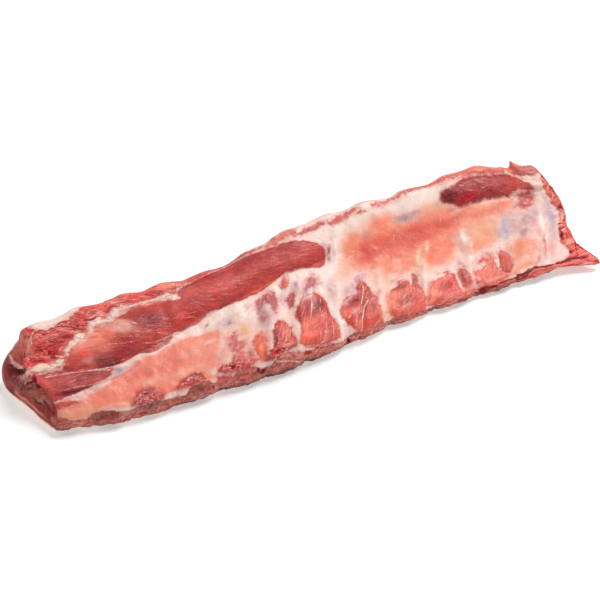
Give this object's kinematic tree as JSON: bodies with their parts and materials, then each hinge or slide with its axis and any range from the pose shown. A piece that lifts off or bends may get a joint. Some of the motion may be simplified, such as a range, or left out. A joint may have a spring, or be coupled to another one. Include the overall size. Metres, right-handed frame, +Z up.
{
  "type": "raw bone-in pork loin rib",
  "caption": "Raw bone-in pork loin rib, one long uneven piece lying fat side down, with tenderloin, rib bands, split backbone, two cut ends and a loose tongue of meat.",
  "frame": {"origin": "middle of the piece's bounding box, on the surface that it lies on", "axes": "+X along the piece from the hip cut to the shoulder cut, +Y from the sawn rib ends to the split backbone, +Z up"},
  "size_m": [0.5578, 0.1254, 0.0718],
  "materials": {
    "raw_pork": null
  },
  "bodies": {
    "root": {"loin": "raw_pork"}
  },
  "joints": []
}
